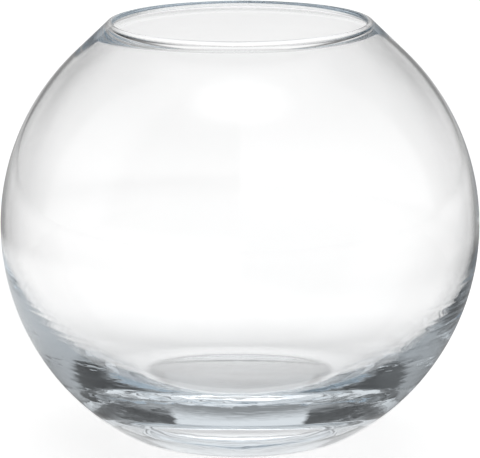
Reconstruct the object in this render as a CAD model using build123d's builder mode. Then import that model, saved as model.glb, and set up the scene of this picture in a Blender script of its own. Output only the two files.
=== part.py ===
from build123d import *

import os
from math import acos, asin, atan2, cos, degrees, hypot, sin, sqrt

# Rose bowl vase: a clear glass globe with a round fire-polished lip and a heavy base, ground flat below.
# The globe stands on the table plane, centred on Z. Each piece of glass is turned about Z from its own section.

# Driving dimensions, in millimetres
bowl_diameter = 200.0  # outside, across the widest part
mouth_diameter = 111.0  # outside, across the lip
neck_length = 20.0  # straight stretch of wall between the globe and the lip
wall_thickness = 1.5  # glass of the globe and the neck
rim_thickness = 3.2  # glass of the lip's bead
swell_length = 5.5  # along the neck, from the bead's centre to where the inner face begins to swell
swell_radius = 60.0  # slight bow of the swell
foot_diameter = 81.0  # flat face that stands on the table
foot_edge_radius = 20.0  # round between the globe and the flat face
base_thickness = 13.2  # table plane to the middle of the inner floor
floor_radius = 240.0  # dish of the inner floor
cove_radius = 72.0  # round between the inner floor and the side wall

# The globe touches the foot's edge round, which sets the height of its centre
globe_radius = bowl_diameter / 2
foot_radius = foot_diameter / 2
globe_z = foot_edge_radius + sqrt((globe_radius - foot_edge_radius) ** 2 - foot_radius**2)
foot_angle = atan2(foot_edge_radius - globe_z, foot_radius)

# The neck leaves the globe at the angle that brings its lip out at the mouth's size
lip_radius = rim_thickness / 2
lip_x = mouth_diameter / 2 - lip_radius
neck_lever = hypot(globe_radius - lip_radius, neck_length)
neck_angle = acos(lip_x / neck_lever) - atan2(neck_length, globe_radius - lip_radius)
lip_z = globe_z + (globe_radius - lip_radius) * sin(neck_angle) + neck_length * cos(neck_angle)
bowl_height = lip_z + lip_radius

# The cove lies against the side wall and against the dished floor
side_radius = globe_radius - wall_thickness
floor_z = base_thickness + floor_radius
cove_to_side = side_radius - cove_radius
cove_to_floor = floor_radius - cove_radius
floor_above_globe = floor_z - globe_z
cove_rise = (cove_to_side**2 - cove_to_floor**2 + floor_above_globe**2) / (2 * floor_above_globe)
cove_x = sqrt(cove_to_side**2 - cove_rise**2)
cove_z = globe_z + cove_rise
cove_top_angle = atan2(cove_rise, cove_x)
cove_floor_angle = atan2(cove_z - floor_z, cove_x)


def around(centre, radius, angle):
    """The point of a circle at an angle, in the section plane."""
    return (centre[0] + radius * cos(angle), centre[1] + radius * sin(angle))


def arc_around(centre, radius, start, end):
    """An arc of a circle between two angles, in the section plane."""
    return CenterArc(centre, radius, degrees(start), degrees(end - start))


# Centres in the section plane, as distance from the axis and height
globe_centre = (0, globe_z)
lip_centre = (lip_x, lip_z)
cove_centre = (cove_x, cove_z)
floor_centre = (0, floor_z)
foot_edge_centre = (foot_radius, foot_edge_radius)

# Quarter, half and full turns
quarter_turn = acos(0)
half_turn = 2 * quarter_turn
full_turn = 4 * quarter_turn

# The heavy base is fused to the blown wall on a level ring, where the floor turns up into the cove
base_seam_inside = around(cove_centre, cove_radius, cove_floor_angle)
base_seam_angle = asin((base_seam_inside[1] - globe_z) / globe_radius)
base_seam_outside = around(globe_centre, globe_radius, base_seam_angle)

# The blown wall is fused to the shoulder on a level ring at the globe's widest part
wide_seam_outside = (globe_radius, globe_z)
wide_seam_inside = (side_radius, globe_z)

# The lip's inner face swells from the neck's inner face into the bead, on an arc that lies against the bead
swell_foot = around(lip_centre, -swell_length, neck_angle + quarter_turn)
lip_seam_inside = around(swell_foot, lip_radius - wall_thickness, neck_angle)
lip_seam_outside = around(swell_foot, lip_radius, neck_angle)
swell_reach = hypot(wall_thickness - lip_radius, swell_length)
swell_bearing = atan2(lip_seam_inside[1] - lip_z, lip_seam_inside[0] - lip_x)
bead_to_swell = swell_radius - lip_radius
swell_along = (bead_to_swell**2 - swell_radius**2 + swell_reach**2) / (2 * swell_reach)
swell_angle = swell_bearing + acos(swell_along / bead_to_swell)
swell_centre = around(lip_centre, bead_to_swell, swell_angle)
bead_end_angle = swell_angle + half_turn
swell_end_angle = atan2(lip_seam_inside[1] - swell_centre[1], lip_seam_inside[0] - swell_centre[0]) + full_turn
bead_outside = around(lip_centre, lip_radius, neck_angle)

# Heavy base: the thick dished floor, its rounded foot and the flat face below
with BuildPart() as heavy_base:
    with BuildSketch(Plane.XZ):
        with BuildLine():
            Line((0, 0), (foot_radius, 0))
            arc_around(foot_edge_centre, foot_edge_radius, -quarter_turn, foot_angle)
            arc_around(globe_centre, globe_radius, foot_angle, base_seam_angle)
            Line(base_seam_outside, base_seam_inside)
            arc_around(floor_centre, floor_radius, cove_floor_angle, -quarter_turn)
            Line((0, base_thickness), (0, 0))
        make_face()
    revolve(axis=Axis.Z)
heavy_base.part.label = "heavy_base"

# Blown wall: the lower globe, with the cove that thickens towards the base
with BuildPart() as blown_wall:
    with BuildSketch(Plane.XZ):
        with BuildLine():
            arc_around(globe_centre, globe_radius, base_seam_angle, 0)
            Line(wide_seam_outside, wide_seam_inside)
            arc_around(globe_centre, side_radius, 0, cove_top_angle)
            arc_around(cove_centre, cove_radius, cove_top_angle, cove_floor_angle)
            Line(base_seam_inside, base_seam_outside)
        make_face()
    revolve(axis=Axis.Z)
blown_wall.part.label = "blown_wall"

# Shoulder: the upper globe of even wall, drawn in to the straight neck
with BuildPart() as shoulder:
    with BuildSketch(Plane.XZ):
        with BuildLine():
            arc_around(globe_centre, globe_radius, 0, neck_angle)
            Line(around(globe_centre, globe_radius, neck_angle), lip_seam_outside)
            Line(lip_seam_outside, lip_seam_inside)
            Line(lip_seam_inside, around(globe_centre, side_radius, neck_angle))
            arc_around(globe_centre, side_radius, neck_angle, 0)
            Line(wide_seam_inside, wide_seam_outside)
        make_face()
    revolve(axis=Axis.Z)
shoulder.part.label = "shoulder"

# Fire-polished lip: the bead that the flame leaves on the cut edge, with the swell below it on the inside
with BuildPart() as polished_lip:
    with BuildSketch(Plane.XZ):
        with BuildLine():
            Line(lip_seam_outside, bead_outside)
            arc_around(lip_centre, lip_radius, neck_angle, bead_end_angle)
            arc_around(swell_centre, swell_radius, bead_end_angle, swell_end_angle)
            Line(lip_seam_inside, lip_seam_outside)
        make_face()
    revolve(axis=Axis.Z)
polished_lip.part.label = "polished_lip"

os.makedirs("parts", exist_ok=True)
for piece in (heavy_base, blown_wall, shoulder, polished_lip):
    export_step(piece.part, f"parts/{piece.part.label}.step")

print(f"height over all {bowl_height:.2f} mm, globe centre at {globe_z:.2f} mm")
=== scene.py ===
from math import acos, atan, atan2, cos, exp, hypot, log, pi, radians, sin, sqrt

import bpy
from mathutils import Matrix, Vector


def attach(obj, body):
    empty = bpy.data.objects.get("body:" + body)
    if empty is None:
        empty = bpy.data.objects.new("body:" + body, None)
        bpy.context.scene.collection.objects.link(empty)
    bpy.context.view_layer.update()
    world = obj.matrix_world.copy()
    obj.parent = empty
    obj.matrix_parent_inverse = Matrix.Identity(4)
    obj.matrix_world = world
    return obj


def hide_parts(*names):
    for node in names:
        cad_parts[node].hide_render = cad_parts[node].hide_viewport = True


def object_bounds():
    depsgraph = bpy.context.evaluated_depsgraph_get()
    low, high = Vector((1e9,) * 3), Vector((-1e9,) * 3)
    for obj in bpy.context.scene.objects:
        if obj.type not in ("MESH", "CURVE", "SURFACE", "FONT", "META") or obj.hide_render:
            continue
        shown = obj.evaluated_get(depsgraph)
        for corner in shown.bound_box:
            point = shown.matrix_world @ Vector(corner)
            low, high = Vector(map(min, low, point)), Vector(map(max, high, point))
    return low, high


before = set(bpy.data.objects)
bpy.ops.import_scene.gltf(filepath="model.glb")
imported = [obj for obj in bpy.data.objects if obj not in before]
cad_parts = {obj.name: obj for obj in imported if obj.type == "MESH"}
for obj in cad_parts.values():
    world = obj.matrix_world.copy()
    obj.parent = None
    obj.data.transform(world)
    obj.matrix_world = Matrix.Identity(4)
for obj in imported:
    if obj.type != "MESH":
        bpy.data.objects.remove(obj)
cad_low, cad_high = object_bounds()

# Heavy base
# The thick floor of clear glass that is left in the mould when the bowl is blown, dished inside.
# Below it is ground flat and polished, and a wide round leads from the flat face up into the globe.
globe_radius = (cad_high.x - cad_low.x) / 2
foot_radius = 0.0405
foot_edge_radius = 0.020
base_thickness = 0.0132
floor_dish_radius = 0.240

globe_z = foot_edge_radius + sqrt((globe_radius - foot_edge_radius) ** 2 - foot_radius**2)
foot_angle = atan2(foot_edge_radius - globe_z, foot_radius)
floor_z = base_thickness + floor_dish_radius


def arc(centre, radius, start, end, steps):
    """Points of an arc in the section plane, as distance from the axis and height, without its last point."""
    turns = [start + (end - start) * step / steps for step in range(steps)]
    return [(centre[0] + radius * cos(turn), centre[1] + radius * sin(turn)) for turn in turns]


def line(start, end, steps):
    """Points of a straight stretch in the section plane, without its last point."""
    shares = [step / steps for step in range(steps)]
    return [(start[0] + (end[0] - start[0]) * s, start[1] + (end[1] - start[1]) * s) for s in shares]


underside = line((0, 0), (foot_radius, 0), 16)
underside += arc((foot_radius, foot_edge_radius), foot_edge_radius, -pi / 2, foot_angle, 30)

# Blown wall
# The lower globe, of thin even glass blown against the mould.
# Inside, a wide cove thickens it towards the heavy base. Its fine steps keep the bands in the base smooth.
wall_thickness = 0.0015
cove_radius = 0.072

side_radius = globe_radius - wall_thickness
cove_to_side = side_radius - cove_radius
cove_to_floor = floor_dish_radius - cove_radius
floor_above_globe = floor_z - globe_z
cove_rise = (cove_to_side**2 - cove_to_floor**2 + floor_above_globe**2) / (2 * floor_above_globe)
cove_x = sqrt(cove_to_side**2 - cove_rise**2)
cove_z = globe_z + cove_rise
cove_top_angle = atan2(cove_rise, cove_x)
cove_floor_angle = atan2(cove_z - floor_z, cove_x)

lower_outside = arc((0, globe_z), globe_radius, foot_angle, 0, 46)
lower_inside = arc((0, globe_z), side_radius, 0, cove_top_angle, 16)
lower_inside += arc((cove_x, cove_z), cove_radius, cove_top_angle, cove_floor_angle, 200)
lower_inside += arc((0, floor_z), floor_dish_radius, cove_floor_angle, -pi / 2, 36)

# Shoulder
# The upper globe, of the same thin glass, drawn in while hot to a short straight neck.
# The neck leaves the globe at the angle that brings its lip out at the mouth's size.
mouth_radius = 0.0555
neck_length = 0.020
rim_thickness = 0.0032

lip_radius = rim_thickness / 2
lip_x = mouth_radius - lip_radius
neck_lever = hypot(globe_radius - lip_radius, neck_length)
neck_angle = acos(lip_x / neck_lever) - atan2(neck_length, globe_radius - lip_radius)
lip_z = globe_z + (globe_radius - lip_radius) * sin(neck_angle) + neck_length * cos(neck_angle)


def around(centre, radius, angle):
    """The point of a circle at an angle, in the section plane."""
    return (centre[0] + radius * cos(angle), centre[1] + radius * sin(angle))


lip_centre = (lip_x, lip_z)
neck_outside = around((0, globe_z), globe_radius, neck_angle)
neck_inside = around((0, globe_z), side_radius, neck_angle)
upper_outside = arc((0, globe_z), globe_radius, 0, neck_angle, 40)
upper_outside += line(neck_outside, around(lip_centre, lip_radius, neck_angle), 8)
upper_inside = arc((0, globe_z), side_radius, neck_angle, 0, 40)

# Polished lip
# The bead that the flame leaves where the mouth was cut, with a swell below it on the inside, where the soft
# glass ran back. The swell dies away softly at the back and the middle of the front. At the front's two sides
# it ends in a crisp edge, and it runs furthest down on the left.
swell_slope = 0.42  # how steeply it leaves the bead
left_ease = 0.20  # how much gentler that is at the far left
right_ease = -0.10  # and at the far right, where it is steeper
crisp_edge = 0.0003  # how tightly the crisp end turns
crisp_from_side = 0.35  # where it is crisp, by the square of the turn's cosine
front_turn = 0.25  # where the front begins, by the turn's sine
swell_end = 0.9 * neck_length
bead_steps = 28
swell_steps = 48


def ramp(value, start, end):
    """How far a value is on the way from start to end, held between 0 and 1."""
    return min(1, max(0, (value - start) / (end - start)))


def lip_and_neck(turn):
    """Points of the bead, the swell and the neck's inner face, at one turn round the vase."""
    side = cos(turn) ** 2
    slope = swell_slope - (left_ease if cos(turn) < 0 else right_ease) * side
    crisp = ramp(side, 0, crisp_from_side) * ramp(sin(turn), front_turn, -front_turn)
    tilt = atan(slope)
    start = lip_radius * sin(tilt)
    inset = lip_radius - wall_thickness
    fall = (inset + lip_radius * cos(tilt)) / slope
    points = arc(lip_centre, lip_radius, neck_angle, neck_angle + pi + tilt, bead_steps)
    for step in range(swell_steps + 1):
        along = start + (swell_end - start) * (step / swell_steps) ** 1.5
        soft_swell = slope * fall * exp((start - along) / fall)
        crisp_swell = slope * crisp_edge * log(1 + exp((start + fall - along) / crisp_edge))
        swell = soft_swell + (crisp_swell - soft_swell) * crisp
        on_neck = around(lip_centre, -along, neck_angle + pi / 2)
        points.append(around(on_neck, inset - swell, neck_angle))
    return points[:-1] + line(points[-1], neck_inside, 4)


# Rose bowl
# Base, wall, shoulder and lip are one piece of glass, so their outlines are turned into one closed skin
# about the bowl's axis. Blowing leaves it a little uneven: the hollow sits off centre and ripples towards
# the base, and the mouth is cut slightly out of level.
turn_steps = 192
off_centre = 0.00025
mouth_drop = 0.0004
ripple_height = 0.00002
# Each ripple's radians per metre of height and per radian round, and its share: 3, 4.3 and 2.2 mm long
ripples = ((2100, 3, 1), (1450, -5, 1), (2900, 8, 0.6))
beat_up_rate = 310
beat_round_rate = 9


def uneven(ring_radius, ring_z, turn):
    """The hollow's radius at a height and turn: off centre in the globe, rippled at its two sides below."""
    # The shift comes in between 45 and 75 mm up and goes out between 90 and 140 mm.
    # The ripples come in between 18 and 28 mm and go out between 55 and 85 mm.
    hollow = ramp(ring_z, 0.14, 0.09) * ramp(ring_z, 0.045, 0.075)
    low = ramp(ring_z, 0.085, 0.055) * ramp(ring_z, 0.018, 0.028)
    waves = sum(share * sin(up_rate * ring_z + round_rate * turn) for up_rate, round_rate, share in ripples)
    waves *= 0.6 + 0.4 * sin(beat_up_rate * ring_z + beat_round_rate * turn)
    return ring_radius + low * cos(turn) ** 4 * ripple_height * waves - hollow * off_centre * cos(turn)


outside = underside + lower_outside + upper_outside
inside_from = len(outside) + bead_steps
vertices = [(0, 0, 0), (0, 0, base_thickness)]
for step in range(turn_steps):
    turn = 2 * pi * step / turn_steps
    outline = outside + lip_and_neck(turn) + upper_inside + lower_inside
    for place, (ring_radius, ring_z) in enumerate(outline[1:], 1):
        if place > inside_from:
            ring_radius = uneven(ring_radius, ring_z, turn)
        high = max(0, (ring_z - globe_z) / (lip_z - globe_z))
        ring_z -= high * mouth_drop * (1 - cos(turn)) / 2
        vertices.append((ring_radius * cos(turn), ring_radius * sin(turn), ring_z))
ring_count = len(outline) - 1


def at(ring, step):
    """The index of a vertex on a ring of the skin."""
    return 2 + step % turn_steps * ring_count + ring


faces = []
for step in range(turn_steps):
    faces.append((0, at(0, step + 1), at(0, step)))
    for ring in range(ring_count - 1):
        faces.append((at(ring, step), at(ring, step + 1), at(ring + 1, step + 1), at(ring + 1, step)))
    faces.append((1, at(ring_count - 1, step), at(ring_count - 1, step + 1)))

skin = bpy.data.meshes.new("rose_bowl")
skin.from_pydata(vertices, [], faces)
skin.shade_smooth()
rose_bowl = bpy.data.objects.new("rose_bowl", skin)
bpy.context.scene.collection.objects.link(rose_bowl)


def linear(hex_colour):
    """An sRGB hex colour as linear red, green, blue and alpha."""
    shares = [int(hex_colour[i : i + 2], 16) / 255 for i in (1, 3, 5)]
    return tuple(s / 12.92 if s <= 0.04045 else ((s + 0.055) / 1.055) ** 2.4 for s in shares) + (1.0,)


def add_node(tree, kind, settings=None, **links):
    """Adds a node with its settings. Each link names an input, or its place as i0, i1 and so on, and feeds it
    from another node's first output, from a given output or from a plain value."""
    node = tree.nodes.new(kind)
    for name, value in (settings or {}).items():
        setattr(node, name, value)
    for name, value in links.items():
        by_place = name[0] == "i" and name[1:].isdigit()
        socket = node.inputs[int(name[1:]) if by_place else name.replace("_", " ")]
        if isinstance(value, bpy.types.Node):
            value = value.outputs[0]
        if isinstance(value, bpy.types.NodeSocket):
            tree.links.new(value, socket)
        else:
            socket.default_value = value
    return node


# Soda-lime glass, blown and fire-polished: colourless where it is thin, with a cool tint where it is thick.
# Blowing leaves a slow sway in its skin, in level streaks, which makes the bands in the base waver.
# It is mirror smooth, apart from the scuffs that tables have given the edge of the flat face. Real scuffs are
# about 0.2 mm wide, too fine to show, so they are drawn at 1.5 mm.
sway_size = 0.010
sway_height = 0.00006
scuff_size = 0.0015
scuff_roughness = 0.08
glass = bpy.data.materials.new("soda_lime_glass")
glass.use_nodes = True
tree = glass.node_tree
tree.nodes.clear()
coords = add_node(tree, "ShaderNodeTexCoord")
on_skin = coords.outputs["Object"]
spot = add_node(tree, "ShaderNodeSeparateXYZ", Vector=on_skin)

level_streaks = add_node(tree, "ShaderNodeMapping", Vector=on_skin, Scale=(1.0, 1.0, 3.0))
slow_noise = add_node(tree, "ShaderNodeTexNoise", Vector=level_streaks, Scale=1 / sway_size, Detail=1.0)
in_base = add_node(
    tree, "ShaderNodeMapRange", Value=spot.outputs["Z"], From_Min=0.02, From_Max=0.045, To_Min=1.0, To_Max=0.1
)
sway = add_node(tree, "ShaderNodeMath", {"operation": "MULTIPLY"}, i0=slow_noise, i1=in_base)
swayed = add_node(tree, "ShaderNodeBump", Strength=1.0, Distance=sway_height, Height=sway)

reach = add_node(tree, "ShaderNodeVectorMath", {"operation": "LENGTH"}, i0=on_skin)
at_edge = add_node(
    tree,
    "ShaderNodeMapRange",
    Value=reach.outputs["Value"],
    From_Min=0.034,
    From_Max=0.039,
    To_Min=0.0,
    To_Max=1.0,
)
at_table = add_node(
    tree,
    "ShaderNodeMapRange",
    Value=spot.outputs["Z"],
    From_Min=0.0001,
    From_Max=0.0004,
    To_Min=1.0,
    To_Max=0.0,
)
fine_noise = add_node(tree, "ShaderNodeTexNoise", Vector=on_skin, Scale=1 / scuff_size, Detail=4.0)
scuffs = add_node(
    tree,
    "ShaderNodeMapRange",
    Value=fine_noise,
    From_Min=0.45,
    From_Max=0.7,
    To_Min=0.0,
    To_Max=scuff_roughness,
)
worn_edge = add_node(tree, "ShaderNodeMath", {"operation": "MULTIPLY"}, i0=at_edge, i1=at_table)
worn = add_node(tree, "ShaderNodeMath", {"operation": "MULTIPLY"}, i0=worn_edge, i1=scuffs)

surface = add_node(
    tree,
    "ShaderNodeBsdfPrincipled",
    Base_Color=(1, 1, 1, 1),
    Transmission_Weight=1.0,
    Roughness=worn,
    IOR=1.52,
    Normal=swayed,
)
tint = add_node(tree, "ShaderNodeVolumeAbsorption", Color=linear("#c3e7fd"), Density=1.6)
add_node(tree, "ShaderNodeOutputMaterial", Surface=surface, Volume=tint)
skin.materials.append(glass)

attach(rose_bowl, "root")
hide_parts("heavy_base", "blown_wall", "shoulder", "polished_lip")

# Studio floor
# A wide sheet of white paper that the bowl stands on.
# It lies a hair below the flat face, so that the two never share a plane.
floor_half = 6.0
floor_corners = [(x * floor_half, y * floor_half, 0) for x, y in ((-1, -1), (1, -1), (1, 1), (-1, 1))]
floor_mesh = bpy.data.meshes.new("studio_floor")
floor_mesh.from_pydata(floor_corners, [], [(0, 1, 2, 3)])
studio_floor = bpy.data.objects.new("studio_floor", floor_mesh)
studio_floor.location.z = -0.0001
bpy.context.scene.collection.objects.link(studio_floor)

# White paper: matt and nearly white. A glow brings it up to white for the eye and for the glass, and leaves
# it the bowl's soft shadow. Its level for rays that the glass has reflected stands in for the room beyond
# the paper, which is darker. Those levels were set one by one.
floor_glow = 0.67
paper = bpy.data.materials.new("white_paper")
paper.use_nodes = True
tree = paper.node_tree
tree.nodes.clear()
path = add_node(tree, "ShaderNodeLightPath")
to_camera = path.outputs["Is Camera Ray"]
paper_spot = add_node(tree, "ShaderNodeNewGeometry")
across = add_node(tree, "ShaderNodeSeparateXYZ", Vector=paper_spot.outputs["Position"])
from_axis = add_node(tree, "ShaderNodeVectorMath", {"operation": "LENGTH"}, i0=paper_spot.outputs["Position"])
away = from_axis.outputs["Value"]
mirrored = add_node(tree, "ShaderNodeMath", {"operation": "MINIMUM"}, i0=path.outputs["Glossy Depth"], i1=1.0)
in_view = add_node(
    tree, "ShaderNodeMath", {"operation": "MAXIMUM"}, i0=to_camera, i1=path.outputs["Is Glossy Ray"]
)
seen = add_node(
    tree, "ShaderNodeMath", {"operation": "MAXIMUM"}, i0=in_view, i1=path.outputs["Is Transmission Ray"]
)

# Straight through the glass, all painted on the paper: a painted contact shadow where the foot touches, a
# painted ring of light round it, where the foot's edge would gather light, a painted shade of the bowl beyond
# that, and a painted slow fade into the distance
contact = add_node(
    tree, "ShaderNodeMapRange", Value=away, From_Min=0.042, From_Max=0.046, To_Min=0.5, To_Max=1.0
)
painted_light_ring = add_node(
    tree, "ShaderNodeMapRange", Value=away, From_Min=0.05, From_Max=0.066, To_Min=1.0, To_Max=0.7
)
bowl_shade = add_node(
    tree, "ShaderNodeMapRange", Value=away, From_Min=0.075, From_Max=0.14, To_Min=0.78, To_Max=1.0
)
round_foot = add_node(tree, "ShaderNodeMath", {"operation": "MAXIMUM"}, i0=painted_light_ring, i1=bowl_shade)
shade = add_node(tree, "ShaderNodeMath", {"operation": "MINIMUM"}, i0=contact, i1=round_foot)
fade = add_node(tree, "ShaderNodeMapRange", Value=away, From_Min=0.45, From_Max=1.2, To_Min=1.0, To_Max=0.64)
straight = add_node(tree, "ShaderNodeMath", {"operation": "MULTIPLY"}, i0=fade, i1=shade)

# Reflected, beside the bowl, a painted reflection of the room: painted lighter on the left than on the right,
# darker with a painted shadow in the bowl's own shade, and painted bright again at the foot
left_to_right = add_node(
    tree,
    "ShaderNodeMapRange",
    Value=across.outputs["X"],
    From_Min=-0.2,
    From_Max=0.2,
    To_Min=0.75,
    To_Max=0.13,
)
clear_of_foot = add_node(
    tree, "ShaderNodeMapRange", Value=away, From_Min=0.11, From_Max=0.15, To_Min=0.4, To_Max=1.0
)
shaded_side = add_node(tree, "ShaderNodeMath", {"operation": "MULTIPLY"}, i0=left_to_right, i1=clear_of_foot)
at_foot = add_node(
    tree, "ShaderNodeMapRange", Value=away, From_Min=0.055, From_Max=0.07, To_Min=0.9, To_Max=0.0
)
beside = add_node(tree, "ShaderNodeMath", {"operation": "MAXIMUM"}, i0=shaded_side, i1=at_foot)

# Reflected, further off, a painted reflection of the darker room: dim, dimmer still in the far distance, but
# painted bright straight behind the bowl
painted_far_shade = add_node(
    tree, "ShaderNodeMapRange", Value=away, From_Min=0.55, From_Max=1.5, To_Min=0.3, To_Max=0.5
)
dim = add_node(tree, "ShaderNodeMapRange", Value=away, From_Min=1.2, From_Max=4.0, To_Min=1.0, To_Max=0.42)
distant = add_node(tree, "ShaderNodeMath", {"operation": "MULTIPLY"}, i0=painted_far_shade, i1=dim)
to_distant = add_node(
    tree, "ShaderNodeMapRange", Value=away, From_Min=0.35, From_Max=0.45, To_Min=0.0, To_Max=1.0
)
off_sides = add_node(tree, "ShaderNodeMix", Factor=to_distant, A=beside, B=distant)
floor_bearing = add_node(
    tree, "ShaderNodeMath", {"operation": "ARCTAN2"}, i0=across.outputs["X"], i1=across.outputs["Y"]
)
off_middle = add_node(tree, "ShaderNodeMath", {"operation": "ABSOLUTE"}, i0=floor_bearing)
central = add_node(
    tree,
    "ShaderNodeMapRange",
    Value=off_middle,
    From_Min=radians(5),
    From_Max=radians(11),
    To_Min=0.8,
    To_Max=0.0,
)
far = add_node(tree, "ShaderNodeMath", {"operation": "MAXIMUM"}, i0=off_sides, i1=central)

# Reflected inside the glass, close under the foot: a painted bright patch, where the base would gather light
close = add_node(
    tree, "ShaderNodeMapRange", Value=away, From_Min=0.015, From_Max=0.04, To_Min=2.1, To_Max=0.8
)
to_far = add_node(
    tree,
    "ShaderNodeMapRange",
    {"interpolation_type": "SMOOTHSTEP"},
    Value=away,
    From_Min=0.17,
    From_Max=0.3,
    To_Min=0.0,
    To_Max=1.0,
)
never_inside = add_node(
    tree, "ShaderNodeMath", {"operation": "LESS_THAN"}, i0=path.outputs["Transmission Depth"], i1=0.5
)
beyond = add_node(tree, "ShaderNodeMath", {"operation": "MAXIMUM"}, i0=to_far, i1=never_inside)
reflected = add_node(tree, "ShaderNodeMix", Factor=beyond, A=close, B=far)

# The painted shade and light above set the glow's strength
through_glass = add_node(tree, "ShaderNodeMix", Factor=mirrored, A=straight, B=reflected)
shown = add_node(tree, "ShaderNodeMix", Factor=to_camera, A=through_glass, B=1.0)
full_lift = add_node(tree, "ShaderNodeMath", {"operation": "MULTIPLY"}, i0=seen, i1=floor_glow)
lift = add_node(tree, "ShaderNodeMath", {"operation": "MULTIPLY"}, i0=full_lift, i1=shown)
# For reflected rays the paper's colour carries the painted reflection levels as well
painted_lit_level = add_node(tree, "ShaderNodeMix", Factor=mirrored, A=1.0, B=reflected)
paper_white = linear("#f4f4f4")[:3]
colour = add_node(
    tree, "ShaderNodeVectorMath", {"operation": "SCALE"}, i0=paper_white, Scale=painted_lit_level.outputs[0]
)
sheet = add_node(tree, "ShaderNodeBsdfDiffuse", Color=colour)
glow = add_node(tree, "ShaderNodeEmission", Strength=lift)
glowing_sheet = add_node(tree, "ShaderNodeAddShader", i0=sheet, i1=glow)
add_node(tree, "ShaderNodeOutputMaterial", Surface=glowing_sheet)
floor_mesh.materials.append(paper)

# Studio light
# A soft white tent with dark flags to the left and right, as glass is lit so that its edges show.
# A narrower bright screen stands behind the bowl, between the flags.
screen_level = 0.83
roof_level = 1.0
above_screen_level = 0.2
world = bpy.data.worlds.new("studio")
bpy.context.scene.world = world
world.use_nodes = True
tree = world.node_tree
tree.nodes.clear()
sky_coords = add_node(tree, "ShaderNodeTexCoord")
way = add_node(tree, "ShaderNodeSeparateXYZ", Vector=sky_coords.outputs["Generated"])
bearing = add_node(tree, "ShaderNodeMath", {"operation": "ARCTAN2"}, i0=way.outputs["X"], i1=way.outputs["Y"])
aside = add_node(tree, "ShaderNodeMath", {"operation": "ABSOLUTE"}, i0=bearing)
height = add_node(tree, "ShaderNodeMath", {"operation": "ARCSINE"}, i0=way.outputs["Z"])

# Behind the bowl: the screen, dimmer near the floor, with the flags on both sides of it. A low strip of light
# shows under the flags, and the space above the screen is dim.
screen = add_node(
    tree,
    "ShaderNodeMapRange",
    Value=height,
    From_Min=radians(4),
    From_Max=radians(18),
    To_Min=0.26,
    To_Max=screen_level,
)
to_flag = add_node(
    tree,
    "ShaderNodeMapRange",
    Value=aside,
    From_Min=radians(21),
    From_Max=radians(23),
    To_Min=0.0,
    To_Max=1.0,
)
to_above = add_node(
    tree,
    "ShaderNodeMapRange",
    Value=height,
    From_Min=radians(30),
    From_Max=radians(36),
    To_Min=0.0,
    To_Max=1.0,
)
flag_cloth = add_node(
    tree,
    "ShaderNodeMapRange",
    Value=bearing,
    From_Min=radians(-62),
    From_Max=radians(-40),
    To_Min=0.12,
    To_Max=0.03,
)
low_strip = add_node(
    tree,
    "ShaderNodeMapRange",
    {"interpolation_type": "SMOOTHSTEP"},
    Value=height,
    From_Min=radians(4),
    From_Max=radians(19),
    To_Min=0.46,
    To_Max=0.0,
)
strip_end = add_node(
    tree,
    "ShaderNodeMapRange",
    Value=aside,
    From_Min=radians(40),
    From_Max=radians(60),
    To_Min=1.0,
    To_Max=0.0,
)
strip = add_node(tree, "ShaderNodeMath", {"operation": "MULTIPLY"}, i0=low_strip, i1=strip_end)
flags = add_node(tree, "ShaderNodeMath", {"operation": "MAXIMUM"}, i0=flag_cloth, i1=strip)
screen_and_flags = add_node(tree, "ShaderNodeMix", Factor=to_flag, A=screen, B=flags)
behind = add_node(tree, "ShaderNodeMix", Factor=to_above, A=screen_and_flags, B=above_screen_level)

# At the sides and the front: the tent's cloth, dark at the front left, with a little light from the floor
tent_side = add_node(
    tree,
    "ShaderNodeMapRange",
    Value=bearing,
    From_Min=radians(-118),
    From_Max=radians(-104),
    To_Min=0.06,
    To_Max=0.48,
)
floor_light = add_node(
    tree,
    "ShaderNodeMapRange",
    Value=height,
    From_Min=radians(3),
    From_Max=radians(8),
    To_Min=0.35,
    To_Max=0.0,
)
front = add_node(tree, "ShaderNodeMath", {"operation": "MAXIMUM"}, i0=tent_side, i1=floor_light)
to_front = add_node(
    tree,
    "ShaderNodeMapRange",
    {"interpolation_type": "SMOOTHSTEP"},
    Value=aside,
    From_Min=radians(69),
    From_Max=radians(77),
    To_Min=0.0,
    To_Max=1.0,
)
sides = add_node(tree, "ShaderNodeMix", Factor=to_front, A=behind, B=front)

# The roof: white, and it comes down lower behind the bowl than at its sides
roof_from = add_node(
    tree,
    "ShaderNodeMapRange",
    Value=aside,
    From_Min=radians(40),
    From_Max=radians(62),
    To_Min=radians(39),
    To_Max=radians(46),
)
roof_to = add_node(
    tree,
    "ShaderNodeMapRange",
    Value=aside,
    From_Min=radians(40),
    From_Max=radians(62),
    To_Min=radians(54),
    To_Max=radians(80),
)
to_roof = add_node(
    tree,
    "ShaderNodeMapRange",
    {"interpolation_type": "SMOOTHSTEP"},
    Value=height,
    From_Min=roof_from,
    From_Max=roof_to,
    To_Min=0.0,
    To_Max=1.0,
)
tent = add_node(tree, "ShaderNodeMix", Factor=to_roof, A=sides, B=roof_level)

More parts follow.
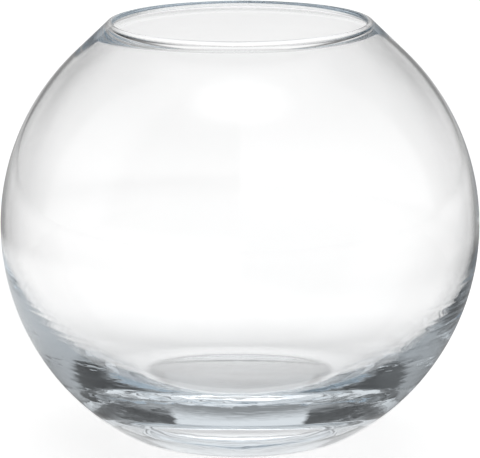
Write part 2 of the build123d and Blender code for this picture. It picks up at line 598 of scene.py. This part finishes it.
# The eye sees plain white behind the bowl, and nearly the same straight through the glass
sky_path = add_node(tree, "ShaderNodeLightPath")
unreflected = add_node(
    tree, "ShaderNodeMath", {"operation": "LESS_THAN"}, i0=sky_path.outputs["Glossy Depth"], i1=0.5
)
seen_through = add_node(
    tree,
    "ShaderNodeMath",
    {"operation": "MULTIPLY"},
    i0=unreflected,
    i1=sky_path.outputs["Is Transmission Ray"],
)
white_backdrop = add_node(
    tree, "ShaderNodeMapRange", Value=height, From_Min=0.0, From_Max=radians(8), To_Min=0.95, To_Max=0.72
)
backdrop = add_node(tree, "ShaderNodeMath", {"operation": "MULTIPLY"}, i0=white_backdrop, i1=seen_through)
tent_level = add_node(tree, "ShaderNodeMath", {"operation": "MAXIMUM"}, i0=tent, i1=backdrop)
level = add_node(
    tree, "ShaderNodeMath", {"operation": "MAXIMUM"}, i0=tent_level, i1=sky_path.outputs["Is Camera Ray"]
)
dome = add_node(tree, "ShaderNodeBackground", Color=(1, 1, 1, 1), Strength=level)
add_node(tree, "ShaderNodeOutputWorld", Surface=dome)

# Camera
# A long lens, a little above the bowl's middle, that looks at it from 1.6 m away.
# Light crosses the thick base many times, so the paths are allowed many bounces.
camera_elevation = radians(12.08)
camera_distance = 1.6
aim_below = 0.0021
focal_px = 3825.0
image_width_px = 480
bounces = 256
camera_data = bpy.data.cameras.new("camera")
camera_data.sensor_width = 36.0
camera_data.lens = focal_px / image_width_px * camera_data.sensor_width
camera_data.clip_end = 50
camera = bpy.data.objects.new("camera", camera_data)
bpy.context.scene.collection.objects.link(camera)
back = Vector((0, -cos(camera_elevation), sin(camera_elevation)))
up = Vector((0, sin(camera_elevation), cos(camera_elevation)))
camera.location = Vector((0, 0, globe_z)) + back * camera_distance
aim = Vector((0, 0, globe_z)) - up * aim_below
camera.rotation_mode = "QUATERNION"
camera.rotation_quaternion = (aim - camera.location).to_track_quat("-Z", "Y")
bpy.context.scene.camera = camera

bpy.context.scene.view_settings.view_transform = "Standard"
bpy.context.scene.cycles.max_bounces = bounces
bpy.context.scene.cycles.transmission_bounces = bounces
bpy.context.scene.cycles.glossy_bounces = bounces
